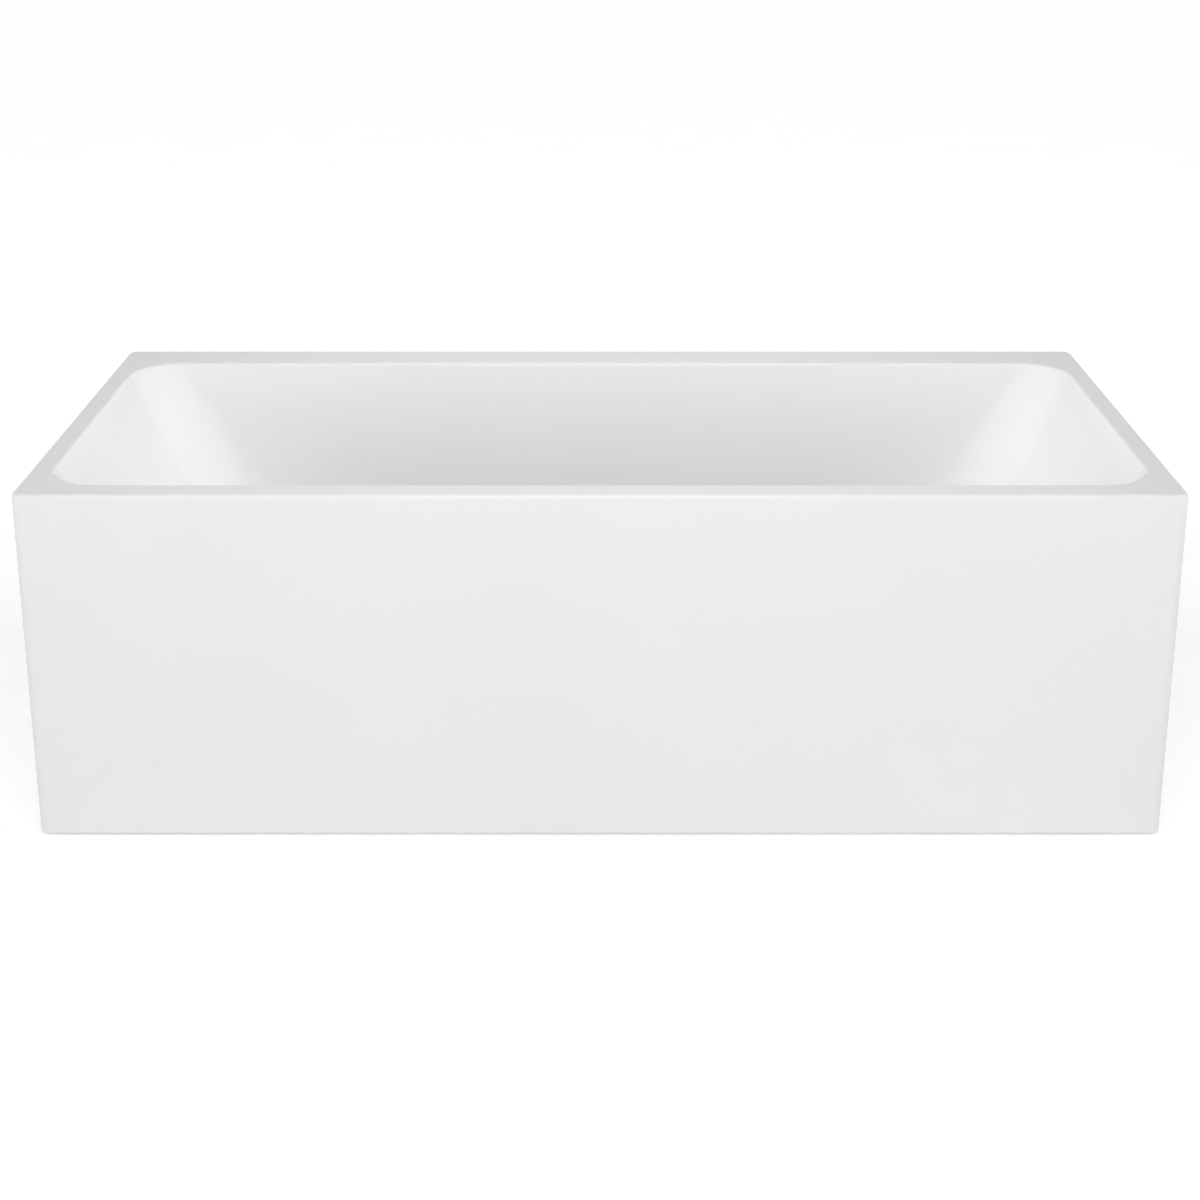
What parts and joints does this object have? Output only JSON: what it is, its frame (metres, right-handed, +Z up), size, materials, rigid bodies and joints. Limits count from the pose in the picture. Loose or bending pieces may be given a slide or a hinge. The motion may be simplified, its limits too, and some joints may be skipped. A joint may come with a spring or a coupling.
{
  "type": "freestanding bathtub",
  "caption": "Rectangular double-ended bathtub with a flat rim, closed skirt, central click waste, hidden overflow and levelling feet.",
  "frame": {"origin": "on the floor under the middle of the tub", "axes": "+X along the tub to the right in the picture, +Y to the rear long side with the wide rim, +Z up"},
  "size_m": [1.8, 0.8, 0.58],
  "materials": {
    "acrylic": "high gloss white sanitary acrylic",
    "timber": "planed softwood",
    "board": "moisture-resistant chipboard",
    "zinc_steel": "zinc plated",
    "spring_steel": "bright wire",
    "chrome": "polished chrome plate",
    "brass": "turned brass",
    "rubber": "moulded rubber",
    "white_plastic": "moulded plastic pipe",
    "grey_plastic": "moulded plastic nuts",
    "foot_plastic": "black moulded plastic"
  },
  "bodies": {
    "tub": {"tub_basin": "acrylic", "outer_skirt": "acrylic", "rim_batten_front": "timber", "rim_batten_rear": "timber", "rim_batten_left": "timber", "rim_batten_right": "timber", "base_board": "board", "cross_member_left": "zinc_steel", "cross_member_centre": "zinc_steel", "cross_member_right": "zinc_steel", "board_screws": "zinc_steel", "skirt_brackets": "zinc_steel", "bracket_bolts": "zinc_steel", "foot_weld_nuts": "zinc_steel", "foot_lock_nuts": "zinc_steel", "waste_flange_seal": "rubber", "waste_flange": "chrome", "plug_guide": "brass", "plug_spring": "spring_steel", "waste_gasket": "rubber", "waste_body": "white_plastic", "overflow_flange": "chrome", "overflow_screw": "chrome", "overflow_cover": "chrome", "overflow_seal": "rubber", "overflow_elbow": "white_plastic", "overflow_pipe": "white_plastic", "overflow_top_nut": "grey_plastic", "overflow_port_nut": "grey_plastic", "trap": "white_plastic", "trap_washers": "rubber", "trap_inlet_nut": "grey_plastic", "trap_outlet_nut": "grey_plastic", "outlet_pipe": "white_plastic"},
    "plug": {"plug_cap": "chrome", "plug_stem": "brass", "plug_seal": "rubber"},
    "foot_1": {"foot_1_stud": "zinc_steel", "foot_1_pad": "foot_plastic"},
    "foot_2": {"foot_2_stud": "zinc_steel", "foot_2_pad": "foot_plastic"},
    "foot_3": {"foot_3_stud": "zinc_steel", "foot_3_pad": "foot_plastic"},
    "foot_4": {"foot_4_stud": "zinc_steel", "foot_4_pad": "foot_plastic"},
    "foot_5": {"foot_5_stud": "zinc_steel", "foot_5_pad": "foot_plastic"},
    "foot_6": {"foot_6_stud": "zinc_steel", "foot_6_pad": "foot_plastic"}
  },
  "joints": [
    {"name": "plug_lift", "type": "slide", "parent": "tub", "child": "plug", "axis": [0, 0, 1], "range_m": [0, 0.01], "deforming": ["plug_spring"]},
    {"name": "foot_1_extend", "type": "slide", "parent": "tub", "child": "foot_1", "axis": [0, 0, -1], "range_m": [0, 0.025]},
    {"name": "foot_2_extend", "type": "slide", "parent": "tub", "child": "foot_2", "axis": [0, 0, -1], "range_m": [0, 0.025]},
    {"name": "foot_3_extend", "type": "slide", "parent": "tub", "child": "foot_3", "axis": [0, 0, -1], "range_m": [0, 0.025]},
    {"name": "foot_4_extend", "type": "slide", "parent": "tub", "child": "foot_4", "axis": [0, 0, -1], "range_m": [0, 0.025]},
    {"name": "foot_5_extend", "type": "slide", "parent": "tub", "child": "foot_5", "axis": [0, 0, -1], "range_m": [0, 0.025]},
    {"name": "foot_6_extend", "type": "slide", "parent": "tub", "child": "foot_6", "axis": [0, 0, -1], "range_m": [0, 0.025]}
  ]
}
